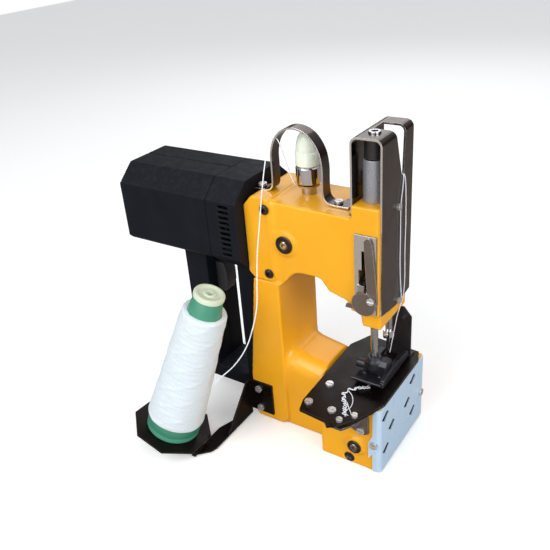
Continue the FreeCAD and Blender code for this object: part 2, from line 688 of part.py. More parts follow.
def presser_parts():
    """Presser bar, hinged foot, guide block and the spring tube with its regulator."""
    bar_bottom, tube_top = 82, 262
    hinge_z = 79.6
    turned("presser_bar", ring_outline(0, bar_radius, 0, 183), (0, presser_y, bar_bottom))
    boss = joined([rod(6, 8, (0, presser_y, 83.4)), block((-5, presser_y - 3, 76.2), (5, presser_y + 3, 84))])
    hub = minus(boss, rod(bar_radius, 10, (0, presser_y, bar_bottom)))
    pin = joined([rod(1.8, 17.2, (-9, presser_y, hinge_z), (1, 0, 0)),
                  rod(3.5, 6.8, (-15.6, presser_y, hinge_z), (1, 0, 0))])
    keep("presser_foot_hub", joined([hub, pin]))
    sole_bottom = 70.2
    sole = new_body("presser_foot_sole")
    add(sole, "YZ", -12, 13, [(-29, 76.5), (-28.4, 78), (-20, 74.2), (27, 74.2), (27, sole_bottom),
                              (-19, sole_bottom)])
    for low, high in ((-8.4, -5.4), (5.4, 8.4)):
        add(sole, "YZ", low, high, [(-15, 73), (-14, 80.5), (-12, 82.4), (-8, 82.4), (-5, 73)])
    remove(sole, "XY", sole_bottom - 1, 90, box_outline(-6.5, needle_y - 7, 6.5, 28))
    remove(sole, "YZ", -9, 9, circles=[((presser_y, hinge_z), 1.8 + gap)])
    guide = minus(joined([block((-3.6, -32, 163.4), (1.6, -17, 169)),
                          block((-3.6, -18, 163.4), (4.5, presser_y + 5, 173))]),
                  rod(bar_radius, 12, (0, presser_y, 162)))
    keep("presser_bar_guide_block", guide)
    bore = bar_radius + 0.4
    turned("presser_spring_tube", [(bore, 0), (8.5, 0), (8.5, 32), (7, 32), (7, 2), (bore, 2)],
           (0, presser_y, head_top))
    turned("presser_regulator_cap", [(bore, 0.5), (7.4, 0.5), (7.4, 14), (0, 14), (0, 12), (bore, 12)],
           (0, presser_y, tube_top))
    turned("regulator_stem", ring_outline(2.4, 4.4, 0, 5.6), (0, presser_y, tube_top + 14))
    return coil_spring(3.4, 26, 0.7, (0, presser_y, head_top + 3))


def lifter_parts():
    """Slotted guide plate on the head's near side and the lever whose round cam raises the presser bar."""
    face = -arm_half
    slotted = new_body("lifter_slide_plate")
    add(slotted, "XZ", face - 1.6, face, box_outline(-7.7, 143, 10.5, 209))
    remove(slotted, "XZ", face - 1.6, face, [
        (-4.2, 160), (2.2, 160), (2.2, 196), (-1.6, 196), (-1.6, 180), (-4.2, 180)])
    outer = face - 1.8
    lever = new_body("lifter_lever")
    add(lever, "XZ", outer - 1.6, outer, [
        (0.8, 205), (3, 208), (5.6, 208), (7.6, 204), (11.6, 166), (12, 153), (4, 153), (3.2, 166)])
    add(lever, "XZ", outer - 3, outer, circles=[((1, 152.6), 10)])
    add(lever, "XZ", outer - 1.6, outer, [(-15, 145.5), (-14.4, 148.8), (-6, 151), (-6, 146)])
    remove(lever, "XZ", outer - 4, outer, circles=[((7.3, 157), 2 + gap)])


hood_screws = ((2.8, 221.3), (6.4, 139.4))


def hood_and_guides():
    """Bright hood over the head, the plate behind the needle and the thread guides."""
    outer, inner = head_depth + sheet_metal + 0.05, head_depth + 0.05
    hood = new_body("needle_guard_hood")
    leg_bottom = arm_top + 1
    add(hood, "XZ", hood_near, hood_far, [
        (-outer, leg_bottom), (-outer, hood_top), (outer, hood_top), (outer, 134), (inner, 134),
        (inner, hood_top - sheet_metal), (-inner, hood_top - sheet_metal), (-inner, leg_bottom)])
    for radius, distance in ((5.5, outer), (4, inner)):
        round_edges(hood, radius, lambda point, direction, edge_x=float(distance): along(direction, Y)
                    and abs(abs(point.x) - edge_x) < 0.1 and point.z > 275)
    remove(hood, "YZ", -5, outer, [(-1.5, hood_top), (9.5, 243), (12.5, 243), (15, hood_top)])
    remove(hood, "YZ", -outer, 1 - inner, [
        (2, leg_bottom), (5, 262), (hood_far, 268), (hood_far, leg_bottom)])
    remove(hood, "YZ", inner, outer, [
        (hood_near, 134), (hood_near, 140.5), (2, 136.6), (10, 136.6), (hood_far, 139.5), (hood_far, 134)])
    remove(hood, "XY", hood_top - sheet_metal, hood_top, circles=[((0, presser_y), 5)])
    remove(hood, "YZ", inner, outer, circles=[(spot, 2.1) for spot in hood_screws])
    guide = new_body("bag_guide_plate")
    add(guide, "XZ", 30, 31.5, [(-8, plate_top), (15, plate_top), (15, 110), (8, 118.5), (-8, 118.5)])
    add(guide, "XY", plate_top, plate_top + 1.5, box_outline(-8, 30, 15, 39))
    thread_hoop()


def thread_hoop():
    """One bent strap that bridges the tension unit: two feet, two legs and a crown that leans to the rear."""
    near, width, thick = -14.5, 11, float(sheet_metal)
    left_foot, right_foot = float(case_top), float(arm_top) - 0.6
    left_leg, right_leg = -86.5, -40.2

    def arch(inset):
        left, right = left_leg + inset, right_leg - inset
        crown = (-63 - inset * 0.2, 277.8 - inset)
        points = [FreeCAD.Vector(x, near, z) for x, z in (
            (left, left_foot), (left, 258), crown, (right, 252), (right, right_foot))]
        return points, Part.Arc(points[1], points[2], points[3]).toShape()

    outside, outer_arc = arch(0)
    inside, inner_arc = arch(thick)
    outline = Part.Wire([
        Part.makeLine(outside[0], outside[1]), outer_arc, Part.makeLine(outside[3], outside[4]),
        Part.makeLine(outside[4], inside[4]), Part.makeLine(inside[4], inside[3]), inner_arc,
        Part.makeLine(inside[1], inside[0]), Part.makeLine(inside[0], outside[0])])
    bridge = Part.Face(outline).extrude(FreeCAD.Vector(0, width, 0))
    left_pad = Part.makeBox(19, width, thick, FreeCAD.Vector(left_leg - 18, near, left_foot))
    right_pad = Part.makeBox(22, width, thick, FreeCAD.Vector(right_leg - 1, near, right_foot))
    hoop = doc.addObject("Part::Feature", "thread_hoop")
    hoop.Shape = bridge.fuse([left_pad, right_pad]).removeSplitter()
    keep("thread_hoop", hoop)


def tension_unit():
    """Thread tension on the arm: stud, two discs, spring, bright collar and the white knob."""
    x, y = -63, 3
    base = arm_top - 0.5
    keep("tension_stud", joined([rod(2.4, 38, (x, y, base - 4)), rod(6, 5.6, (x, y, base))]))
    inner = 2.4 + gap
    disc = [(inner, 0.6), (5, 0.6), (7, 0), (9, 0.9), (9, 1.5), (7, 0.7), (5, 1.2), (inner, 1.2)]
    lower = turned("lower", disc, (x, y, base + 5.6), kept=False)
    flipped = [(radius, 3.2 - height) for radius, height in disc]
    upper = turned("upper", flipped, (x, y, base + 5.6), kept=False)
    group("tension_discs", [lower, upper])
    turned("tension_collar", [(inner, 3), (9, 3), (9, 0), (10, 0), (10, 12.5), (8.6, 14), (inner, 14)],
           (x, y, base + 9.5))
    spring = coil_spring(1, 2, 0.4, (x, y, base + 9.7))
    turned("tension_knob", [(inner, 0), (9.6, 0), (10, 1), (10, 9), (9.4, 10), (8.4, 18), (6.4, 23.5),
                            (3.4, 26.4), (0, 27), (0, 11), (inner, 11)], (x, y, base + 23.8))
    hook = new_body("thread_hook_bracket")
    add(hook, "XZ", -2.5, 3.5, [(-29, arm_top - 1), (-17.5, arm_top - 1), (-17.5, 229), (-18.7, 229),
                                (-18.7, arm_top + 0.2), (-29, arm_top + 0.2)])
    return spring


# ---- thread cone and its tray ----

def cone_parts():
    """Bracket with its tray and spindle, cone core, wound thread and cap, all square to the leaning axis."""
    lean = (0.309, 0.14, 0.94)
    centre = (size("cone_x"), size("cone_y"), size("cone_z"))
    length = size("cone_length")
    base_radius, top_radius = size("cone_base_radius"), size("cone_top_radius")
    axis = FreeCAD.Vector(*lean)
    axis.normalize()
    along_tray = FreeCAD.Vector(axis.z, 0, -axis.x)
    along_tray.normalize()
    across_tray = axis.cross(along_tray)
    foot = FreeCAD.Vector(*[float(part) for part in centre]) - axis * 2

    def on_tray(u, v):
        return foot + along_tray * u + across_tray * v

    half, cut = 33.5, 13.8
    rim = [(half, -cut), (cut, -half), (-cut, -half), (-half, -cut), (-half, cut), (-cut, half), (cut, half),
           (half, cut)]
    corners = [on_tray(u, v) for u, v in rim]
    octagon = Part.Face(Part.makePolygon(corners + corners[:1])).extrude(axis * 1.5)
    neck_points = [FreeCAD.Vector(x, y, 1) for x, y in (
        (-130, -106), (-118, -94), (-116.2, -88), (-116.2, -31), (-117.8, -31), (-130, -66))]
    neck = Part.Face(Part.makePolygon(neck_points + neck_points[:1])).extrude(FreeCAD.Vector(0, 0, 1.6))
    riser_points = [FreeCAD.Vector(x, -106, z) for x, z in ((-130.5, 1), (-127, 1), (-127, 4.6), (-130.5, 6))]
    riser = Part.Face(Part.makePolygon(riser_points + riser_points[:1])).extrude(FreeCAD.Vector(0, 25, 0))
    wing_points = [FreeCAD.Vector(-117.8, y, z) for y, z in (
        (-31, 39), (-36.5, 39), (-69, 3), (-72, 1), (-31, 1))]
    wing = Part.Face(Part.makePolygon(wing_points + wing_points[:1])).extrude(FreeCAD.Vector(1.6, 0, 0))
    ear = Part.makeBox(26, 1.8, 33, FreeCAD.Vector(-117.8, -float(column_half) - 1.8, 7))
    spindle = Part.makeCylinder(3, 72, foot, axis)
    seat = Part.makeCone(20, 18, 4, foot + axis * 1.5, axis)
    bracket = octagon.fuse([neck, riser, wing, ear])
    above = Part.makeCylinder(28, 60, foot + axis * 1.5, axis)
    tray = doc.addObject("Part::Feature", "cone_tray_bracket")
    tray.Shape = bracket.cut(above).fuse([spindle, seat]).removeSplitter()
    keep("cone_tray_bracket", tray)

    taper = (base_radius - top_radius) / length
    thickness = 1.8
    core = [(base_radius - thickness, 0), (base_radius, 0), (top_radius, length),
            (top_radius - thickness, length)]
    turned("cone_core", core, centre, lean)
    start, end = 9, 128
    winding = [(base_radius - taper * start, start), (25.6, start + 0.5), (26.4, start + 3), (16.6, end - 1),
               (15.8, end), (base_radius - taper * end, end)]
    turned("thread_winding", winding, centre, lean)
    turned("cone_cap", [(3, length - 8), (10.4, length - 8), (10.8, length), (top_radius, length),
                        (top_radius + 0.6, length + 4), (12.6, length + 5), (3, length + 5)], centre, lean)


# ---- switch gear, knife and fasteners ----

def switch_parts():
    """Trigger, switch and power inlet in the handle."""
    trigger = new_body("trigger")
    add(trigger, "XZ", -7, 7, [
        (-166, 106), (-163.2, 106), (-163.2, 109), (-160, 109), (-152, 112), (-149, 120), (-149, 132),
        (-152, 141), (-163.2, 141), (-163.2, 144), (-166, 144)])
    remove(trigger, "XZ", -5, 5, box_outline(-166, 112, -158, 138))
    keep("trigger_switch", block((-181, -8, 108), (-171.4, 8, 140)))
    inlet = minus(block((-178.9, -8.9, 19.6), (-165.1, 8.9, 40)), block((-176, -6, 19), (-168, 6, 36)))
    keep("power_inlet", inlet)


def knife_parts():
    """Fixed blade that parts the thread chain, on its own bracket at the outfeed corner."""
    bracket = new_body("knife_bracket")
    add(bracket, "XZ", -base_half - 2, -base_half, [
        (-5, 41), (2, 38.5), (9, 37.6), (12, 40), (12, base_top - 0.1), (-5, base_top - 0.1)])
    add(bracket, "XY", base_top - 2, base_top - 0.1, [
        (-6, -77), (4, -77), (12, -64), (12, -base_half), (-5, -base_half)])
    blade = new_body("thread_knife")
    add(blade, "XY", plate_top, plate_top + 1.4, [(-5, -78), (1, -80), (14, -61), (10, -57), (-3, -70)])


def fasteners():
    """Every group of identical screws."""
    pan = []
    for x, y, z, direction in (
            (-99, -9, case_top + sheet_metal, (0, 0, 1)), (-30, -9, arm_top - 0.6 + sheet_metal, (0, 0, 1)),
            (-28.4, -36, plate_top, (0, 0, 1)), (3.5, 35.5, plate_top + 1.5, (0, 0, 1)),
            (-32.4, -63.6, plate_top, (0, 0, 1)), (-10.9, -64.2, plate_top, (0, 0, 1)),
            (-106, -column_half - 1.8, 33, (0, -1, 0)), (-105, -column_half - 1.8, 12, (0, -1, 0)),
            (5.4, -base_half - 2, 41.6, (0, -1, 0)),
            (16.8, -base_half - cover_thickness, 30, (0, -1, 0)),
            (base_front + cover_thickness, 36.6, 29.3, LENGTHWISE)):
        pan.append(screw(3.4, 2.2, 2, 6, (x, y, z), direction))
    group("pan_head_screws", pan)
    hood_face = head_depth + sheet_metal + 0.05
    small = [screw(2.6, 2.6, 2, 4, (hood_face, y, z), LENGTHWISE) for y, z in hood_screws]
    for x, y in ((8.5, -63), (0.5, -73)):
        small.append(screw(2.6, 2.6, 1.8, 5, (x, y, plate_top + 1.4), (0, 0, 1)))
    small.append(screw(3, 1.2, 2, 9, (7.3, -arm_half - 4.9, 157), (0, -1, 0)))
    group("small_screws", small)
    sockets = []
    for side in (-1, 1):
        for z in (214.5, 157.5):
            sockets.append(rod(3.4, 5, (-85.5, side * (case_half - 3.4), z), (0, side, 0)))
    group("socket_screws", sockets)
    caps = []
    for (x, z), face, height, radius in ((base_boss, -base_half, 4.2, 6.2), (arm_boss, -arm_half, 3.5, 7.6)):
        cap = rod(radius, height + 2.5, (x, face + 2.5, z), (0, -1, 0))
        socket = rod(2.6, 3, (x, face - height + 2.9, z), (0, -1, 0))
        caps.append(minus(cap, socket))
    group("bearing_end_caps", caps)


def sewing_thread():
    """Thread from the winding over the hoop to the tension discs, as one thin bent rod."""
    centres = [FreeCAD.Vector(*point) for point in (
        (-112, -84.6, 73), (-92.3, -80, 94), (-80, -72, 119), (-77.5, -62, 139), (-84, -50, 162),
        (-86.4, -36, 206), (-86.4, -22, 247), (-82, -17.5, 266), (-79, -11, 264), (-73, -3, 226))]
    pieces = []
    for start, end in zip(centres, centres[1:]):
        pieces.append(Part.makeCylinder(0.5, (end - start).Length, start, end - start))
        pieces.append(Part.makeSphere(0.5, end))
    thread = doc.addObject("Part::Feature", "sewing_thread")
    thread.Shape = pieces[0].fuse(pieces[1:]).removeSplitter()
    keep("sewing_thread", thread)


main_casting()
gear_case()
cover_plate()
throat_plate()
handle_shell("near_handle_shell", True)
handle_shell("far_handle_shell", False)
motor_front_housing()
motor_parts()
drive_train()
needle_drive()
feed_parts()
presser_spring = presser_parts()
lifter_parts()
hood_and_guides()
tension_spring = tension_unit()
group("coil_springs", [presser_spring, tension_spring])
cone_parts()
switch_parts()
knife_parts()
fasteners()
sewing_thread()
doc.recompute()

broken = [item.Label for item in doc.Objects if {"Invalid", "Error"} & set(item.State)]
broken += [label for label, item in nodes.items() if item.Shape.isNull() or not item.Shape.isValid()]
if broken:
    raise RuntimeError(f"failed objects: {broken}")
os.makedirs("parts", exist_ok=True)
for label, item in nodes.items():
    item.Shape.exportStep(f"parts/{label}.step")
print(f"{len(nodes)} sub-parts written")
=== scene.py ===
import json
import math
import random

import bmesh
import bpy
from mathutils import Matrix, Vector


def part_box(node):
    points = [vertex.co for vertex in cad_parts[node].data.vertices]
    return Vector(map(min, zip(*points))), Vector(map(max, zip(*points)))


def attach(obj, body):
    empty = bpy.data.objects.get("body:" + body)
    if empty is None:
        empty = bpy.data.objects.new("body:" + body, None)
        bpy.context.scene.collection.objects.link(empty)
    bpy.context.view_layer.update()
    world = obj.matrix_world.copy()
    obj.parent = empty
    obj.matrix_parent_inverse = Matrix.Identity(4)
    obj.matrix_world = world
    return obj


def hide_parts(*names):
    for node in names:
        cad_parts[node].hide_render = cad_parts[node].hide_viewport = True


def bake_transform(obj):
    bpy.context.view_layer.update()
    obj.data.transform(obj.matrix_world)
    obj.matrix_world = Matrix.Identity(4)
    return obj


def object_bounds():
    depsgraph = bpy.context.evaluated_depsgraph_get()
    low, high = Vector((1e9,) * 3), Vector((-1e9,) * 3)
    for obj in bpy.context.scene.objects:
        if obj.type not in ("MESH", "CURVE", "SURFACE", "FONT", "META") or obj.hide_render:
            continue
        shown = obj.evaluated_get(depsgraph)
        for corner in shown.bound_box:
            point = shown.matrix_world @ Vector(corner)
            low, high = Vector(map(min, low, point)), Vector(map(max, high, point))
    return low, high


# Portable bag closer sewing machine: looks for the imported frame. Metres; +X to the sewing head, +Z up.

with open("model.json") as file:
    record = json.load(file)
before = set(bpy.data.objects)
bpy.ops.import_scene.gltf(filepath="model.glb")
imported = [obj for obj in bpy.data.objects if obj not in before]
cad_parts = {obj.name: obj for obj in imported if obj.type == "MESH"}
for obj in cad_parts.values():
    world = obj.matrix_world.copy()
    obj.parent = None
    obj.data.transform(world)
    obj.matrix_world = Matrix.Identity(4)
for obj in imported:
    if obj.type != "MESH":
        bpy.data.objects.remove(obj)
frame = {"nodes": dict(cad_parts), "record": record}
cad_low, cad_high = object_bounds()
nodes = frame["nodes"]
slot_of = {entry["node"]: entry["material_slot"] for entry in frame["record"]["subparts"]}
body_of = {node: body for body, members in frame["record"]["behaviour"]["bodies"].items() for node in members}
joints = {joint["name"]: joint for joint in frame["record"]["behaviour"]["joints"]}
MM = 0.001
rng = random.Random(7)


def mm(*values):
    """A point given in millimetres, in metres."""
    return Vector(values) * MM


def box_mm(node):
    """Low and high corner of a CAD node, in millimetres."""
    low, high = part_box(node)
    return low / MM, high / MM


# ---- materials ----

class Nodes:
    """Short way to wire a node material whose textures run in object space, in metres."""

    def __init__(self, name):
        self.material = bpy.data.materials.new(name)
        self.material.use_nodes = True
        self.tree = self.material.node_tree
        self.shader = self.tree.nodes["Principled BSDF"]
        self.place = self.add("ShaderNodeTexCoord").outputs["Object"]

    def add(self, kind, **settings):
        node = self.tree.nodes.new(kind)
        for key, value in settings.items():
            setattr(node, key, value)
        return node

    def link(self, source, target):
        if isinstance(source, (int, float)):
            target.default_value = source
        elif isinstance(source, tuple):
            target.default_value = (*source, 1) if len(target.default_value) == 4 else source
        else:
            self.tree.links.new(source, target)

    def noise(self, scale, detail=4, stretch=None, distortion=0):
        node = self.add("ShaderNodeTexNoise")
        node.inputs["Scale"].default_value = scale
        node.inputs["Detail"].default_value = detail
        node.inputs["Distortion"].default_value = distortion
        self.link(self.stretched(stretch) if stretch else self.place, node.inputs["Vector"])
        return node.outputs["Fac"]

    def stretched(self, stretch):
        node = self.add("ShaderNodeMapping")
        self.link(self.place, node.inputs["Vector"])
        node.inputs["Scale"].default_value = stretch
        return node.outputs["Vector"]

    def ramp(self, value, low, high, start=0.0, end=1.0):
        """Value between low and high becomes start to end, held outside."""
        node = self.add("ShaderNodeMapRange", clamp=True)
        self.link(value, node.inputs["Value"])
        for key, amount in zip(("From Min", "From Max", "To Min", "To Max"), (low, high, start, end)):
            node.inputs[key].default_value = amount
        return node.outputs["Result"]

    def maths(self, operation, first, second=0.0):
        node = self.add("ShaderNodeMath", operation=operation)
        self.link(first, node.inputs[0])
        self.link(second, node.inputs[1])
        return node.outputs["Value"]

    def mix(self, share, first, second):
        node = self.add("ShaderNodeMix", data_type="RGBA")
        self.link(share, node.inputs["Factor"])
        self.link(first, node.inputs["A"])
        self.link(second, node.inputs["B"])
        return node.outputs[2]

    def edges(self, radius):
        """Near 1 on outer and inner edges, 0 on open faces."""
        bevel = self.add("ShaderNodeBevel", samples=4)
        bevel.inputs["Radius"].default_value = radius
        flat = self.add("ShaderNodeNewGeometry").outputs["Normal"]
        dot = self.add("ShaderNodeVectorMath", operation="DOT_PRODUCT")
        self.link(bevel.outputs["Normal"], dot.inputs[0])
        self.link(flat, dot.inputs[1])
        return self.ramp(dot.outputs["Value"], 0.97, 0.86)

    def upward(self):
        """1 on faces that look up, where dust settles."""
        split = self.add("ShaderNodeSeparateXYZ")
        self.link(self.add("ShaderNodeNewGeometry").outputs["Normal"], split.inputs[0])
        return self.ramp(split.outputs["Z"], 0.55, 1.0)

    def inside(self, low, high):
        """1 within a box of the frame given in mm, 0 outside it."""
        split = self.add("ShaderNodeSeparateXYZ")
        self.link(self.place, split.inputs[0])
        share = 1.0
        for axis, least, most in zip("XYZ", low, high):
            share = self.maths("MULTIPLY", share, self.maths("GREATER_THAN", split.outputs[axis], least * MM))
            share = self.maths("MULTIPLY", share, self.maths("LESS_THAN", split.outputs[axis], most * MM))
        return share

    def shaded_hollows(self):
        """1 in the hollows painted near black as shade: the base chamber, the head's guide slot and the
        base's blind hole.
        """
        base_chamber = self.inside((-26, -41, 6), (19, 36, 64))
        guide_slot = self.inside((-6, -25.6, 156), (4, 0, 205))
        blind_hole = self.inside((-12.6, -43.9, 0.3), (-1.8, -38, 10.9))
        return self.maths("MAXIMUM", base_chamber, self.maths("MAXIMUM", guide_slot, blind_hole))

    def bump(self, height, strength, distance):
        node = self.add("ShaderNodeBump")
        node.inputs["Strength"].default_value = strength
        node.inputs["Distance"].default_value = distance
        self.link(height, node.inputs["Height"])
        self.link(node.outputs["Normal"], self.shader.inputs["Normal"])

    def finish(self, colour, roughness, metallic=0.0, **extra):
        self.link(colour, self.shader.inputs["Base Color"])
        self.link(roughness, self.shader.inputs["Roughness"])
        self.link(metallic, self.shader.inputs["Metallic"])
        for key, value in extra.items():
            self.link(value, self.shader.inputs[key.replace("_", " ")])
        return self.material


def enamel(name, colour, deep, coat=0.25):
    """Sprayed paint on cast metal: slow colour drift, orange peel, worn edges and a little dust."""
    n = Nodes(name)
    drift = n.ramp(n.noise(22, 3), 0.35, 0.7)
    colour_now = n.mix(drift, colour, deep)
    chips = n.maths("MULTIPLY", n.edges(0.0011), n.ramp(n.noise(420, 5), 0.56, 0.66))
    colour_now = n.mix(chips, colour_now, (0.55, 0.42, 0.24))
    specks = n.ramp(n.noise(900, 2), 0.70, 0.78)
    colour_now = n.mix(n.maths("MULTIPLY", specks, 0.25), colour_now, (0.35, 0.2, 0.05))
    dust = n.maths("MULTIPLY", n.upward(), n.ramp(n.noise(60, 6), 0.5, 0.85, 0, 0.10))
    colour_now = n.mix(dust, colour_now, (0.80, 0.58, 0.30))
    # Painted shade: the hollows are coloured near black.
    colour_now = n.mix(n.shaded_hollows(), colour_now, (0.02, 0.014, 0.01))
    rough = n.ramp(n.noise(140, 4), 0.3, 0.75, 0.28, 0.45)
    height = n.maths("ADD", n.noise(520, 2), n.maths("MULTIPLY", n.noise(95, 2), 0.6))
    n.bump(height, 0.11, 0.0004)
    return n.finish(colour_now, rough, 0.0, Specular_IOR_Level=0.35, Coat_Weight=coat, Coat_Roughness=0.12)


def moulded(name, colour, second, roughness=0.5, grain=1500, depth=0.22, wear=(0.16, 0.16, 0.17), shine=0.5):
    """Moulded plastic: fine spark-eroded grain, faint flow marks, handling shine on the edges."""
    n = Nodes(name)
    flow = n.ramp(n.noise(35, 5, distortion=0.6), 0.3, 0.75)
    colour_now = n.mix(flow, colour, second)
    rub = n.maths("MULTIPLY", n.edges(0.0012), n.ramp(n.noise(180, 4), 0.4, 0.7, 0.15, 0.7))
    colour_now = n.mix(rub, colour_now, wear)
    dust = n.maths("MULTIPLY", n.upward(), n.ramp(n.noise(240, 6), 0.5, 0.85, 0, 0.07))
    colour_now = n.mix(dust, colour_now, (0.36, 0.32, 0.28))
    rough = n.ramp(n.noise(90, 5), 0.3, 0.75, roughness - 0.08, roughness + 0.1)
    height = n.maths("ADD", n.noise(grain, 3), n.maths("MULTIPLY", n.noise(70, 3), 0.5))
    n.bump(height, depth, 0.00025)
    return n.finish(colour_now, rough, Specular_IOR_Level=shine)


def metal(name, colour, second, roughness, brush=(1, 1, 1), depth=0.05, metallic=1.0, wear=(0.85, 0.84, 0.82),
          edge_glint=None):
    """Metal: brushed or turned lines, smudges and brighter rubbed edges. An edge glint colour is a painted
    highlight on faces that look along Y, the sheared edges of a sheet."""
    n = Nodes(name)
    smudge = n.ramp(n.noise(55, 6, distortion=0.8), 0.35, 0.75)
    colour_now = n.mix(smudge, colour, second)
    edge = n.maths("MULTIPLY", n.edges(0.0007), n.ramp(n.noise(300, 3), 0.3, 0.6, 0.3, 0.9))
    colour_now = n.mix(edge, colour_now, wear)
    # Painted highlight: faces looking along Y, the sheet's sheared edges, get the glint colour.
    if edge_glint:
        facing = n.add("ShaderNodeSeparateXYZ")
        n.link(n.add("ShaderNodeNewGeometry").outputs["True Normal"], facing.inputs[0])
        colour_now = n.mix(n.ramp(n.maths("ABSOLUTE", facing.outputs["Y"]), 0.6, 0.9), colour_now, edge_glint)
    lines = n.noise(260, 3, stretch=brush)
    smears = n.ramp(smudge, 0, 1, roughness * 0.7, roughness * 1.35)
    rough = n.maths("ADD", smears, n.ramp(lines, 0.3, 0.7, 0, 0.06))
    n.bump(lines, depth, 0.0002)
    return n.finish(colour_now, rough, metallic)


def yarn(name, colour, shade, pitch, relief=0.5):
    """Wound or twisted thread: fine ridges along Z with fibre noise."""
    n = Nodes(name)
    wave = n.add("ShaderNodeTexWave", bands_direction="Z")
    wave.inputs["Scale"].default_value = pitch
    wave.inputs["Distortion"].default_value = 2.5
    wave.inputs["Detail"].default_value = 2
    wave.inputs["Detail Scale"].default_value = 1.5
    tilt = n.add("ShaderNodeMapping")
    n.link(n.place, tilt.inputs["Vector"])
    tilt.inputs["Rotation"].default_value = (0.15, 0, 0)
    n.link(tilt.outputs["Vector"], wave.inputs["Vector"])
    lay = n.maths("MULTIPLY", wave.outputs["Fac"], 0.6)
    ridge = n.maths("ADD", lay, n.maths("MULTIPLY", n.noise(900, 3), 0.5))
    colour_now = n.mix(n.ramp(ridge, 0.2, 0.75), shade, colour)
    n.bump(ridge, relief, 0.0006)
    return n.finish(colour_now, 0.75, 0.0, Sheen_Weight=0.4)


# One row per material: what makes it, its colour, its second colour and how it is worked.
FINISHES = {
    "amber_enamel": (enamel, (0.90, 0.425, 0.014), (0.86, 0.385, 0.010), {}),
    "black_housing_plastic": (moulded, (0.0065, 0.0075, 0.012), (0.010, 0.011, 0.016),
                              dict(depth=0.14, wear=(0.035, 0.035, 0.04), shine=0.10)),
    "trigger_plastic": (moulded, (0.03, 0.03, 0.03), (0.045, 0.045, 0.045),
                        dict(roughness=0.4, grain=900, depth=0.1)),
    "moulded_black_plastic": (moulded, (0.014, 0.014, 0.014), (0.022, 0.022, 0.022),
                              dict(roughness=0.32, grain=900, depth=0.08)),
    "milky_knob_plastic": (moulded, (0.86, 0.93, 0.80), (0.82, 0.90, 0.76),
                           dict(roughness=0.3, grain=600, depth=0.05, wear=(0.9, 0.92, 0.88))),
    "green_core_plastic": (moulded, (0.055, 0.25, 0.16), (0.07, 0.29, 0.19),
                           dict(roughness=0.35, grain=500, depth=0.08, wear=(0.12, 0.4, 0.28))),
    "cream_cap_plastic": (moulded, (0.66, 0.74, 0.60), (0.57, 0.66, 0.50),
                          dict(grain=500, depth=0.12, wear=(0.74, 0.82, 0.64))),
    "belt_rubber": (moulded, (0.02, 0.02, 0.02), (0.035, 0.035, 0.035),
                    dict(roughness=0.7, grain=800, depth=0.3)),
    # Bright sheet steel: its dark brown colours are a painted reflection of a dim workshop, and its edge
    # glint is a painted highlight.
    "bright_sheet_steel": (metal, (0.125, 0.105, 0.095), (0.09, 0.075, 0.068),
                           dict(roughness=0.14, brush=(1, 1, 6), depth=0.03, wear=(0.9, 0.88, 0.85),
                                edge_glint=(0.80, 0.79, 0.78))),
    "lifter_steel": (metal, (0.20, 0.16, 0.13), (0.155, 0.125, 0.10),
                     dict(roughness=0.3, brush=(1, 1, 8), metallic=0.6)),
    # Cover steel: its pale blue is a painted reflection of the sky, given as the plate's own colour.
    "cover_steel": (metal, (0.52, 0.70, 0.88), (0.50, 0.67, 0.85),
                    dict(roughness=0.35, brush=(1, 8, 1), depth=0.02, metallic=0.12)),
    "black_plate_steel": (metal, (0.010, 0.007, 0.006), (0.016, 0.011, 0.010),
                          dict(roughness=0.35, brush=(4, 1, 1), depth=0.06, metallic=0.75,
                               wear=(0.12, 0.11, 0.10))),
    "dark_guide_steel": (metal, (0.032, 0.029, 0.032), (0.045, 0.040, 0.042),
                         dict(roughness=0.35, brush=(1, 1, 5), depth=0.1, metallic=0.5,
                              wear=(0.2, 0.19, 0.18))),
    "black_foot_steel": (metal, (0.03, 0.032, 0.04), (0.055, 0.055, 0.065),
                         dict(roughness=0.34, depth=0.15, metallic=0.7, wear=(0.3, 0.3, 0.31))),
    "grey_bracket_steel": (metal, (0.26, 0.23, 0.21), (0.17, 0.15, 0.14),
                           dict(roughness=0.35, brush=(6, 1, 1), depth=0.1)),
    "ground_steel": (metal, (0.56, 0.56, 0.57), (0.44, 0.44, 0.45),
                     dict(roughness=0.22, brush=(1, 1, 12), depth=0.06)),
    "tube_aluminium": (metal, (0.40, 0.42, 0.46), (0.33, 0.35, 0.38),
                       dict(roughness=0.28, brush=(8, 8, 1), metallic=0.6)),
    "gear_steel": (metal, (0.36, 0.36, 0.37), (0.25, 0.24, 0.22), dict(roughness=0.35)),
    "bronze": (metal, (0.62, 0.42, 0.2), (0.45, 0.3, 0.14), dict(roughness=0.25)),
    "pulley_aluminium": (metal, (0.6, 0.6, 0.62), (0.5, 0.5, 0.52), dict(roughness=0.3)),
    "stator_iron": (metal, (0.16, 0.16, 0.17), (0.1, 0.09, 0.08),
                    dict(roughness=0.5, brush=(30, 1, 1), depth=0.3)),
    "chrome_plate": (metal, (0.72, 0.72, 0.74), (0.62, 0.62, 0.66), dict(roughness=0.07)),
    "bright_screw_steel": (metal, (0.70, 0.70, 0.69), (0.55, 0.54, 0.52),
                           dict(roughness=0.25, metallic=0.75)),
    "dark_screw_steel": (metal, (0.035, 0.03, 0.03), (0.06, 0.05, 0.045),
                         dict(roughness=0.35, depth=0.1, metallic=0.8, wear=(0.25, 0.2, 0.15))),
    "fine_thread": (yarn, (0.90, 0.93, 0.98), (0.78, 0.82, 0.90), dict(pitch=2600, relief=0.15)),
    "white_yarn": (yarn, (0.84, 0.93, 0.98), (0.60, 0.70, 0.76), dict(pitch=600)),
}
MATERIALS = {slot: make(slot, colour, second, **work)
             for slot, (make, colour, second, work) in FINISHES.items()}


def paint(piece, slot):
    """Gives a piece the material of a slot of the record."""
    piece.data.materials.clear()
    piece.data.materials.append(MATERIALS[slot])
    return piece


# ---- shapes ----

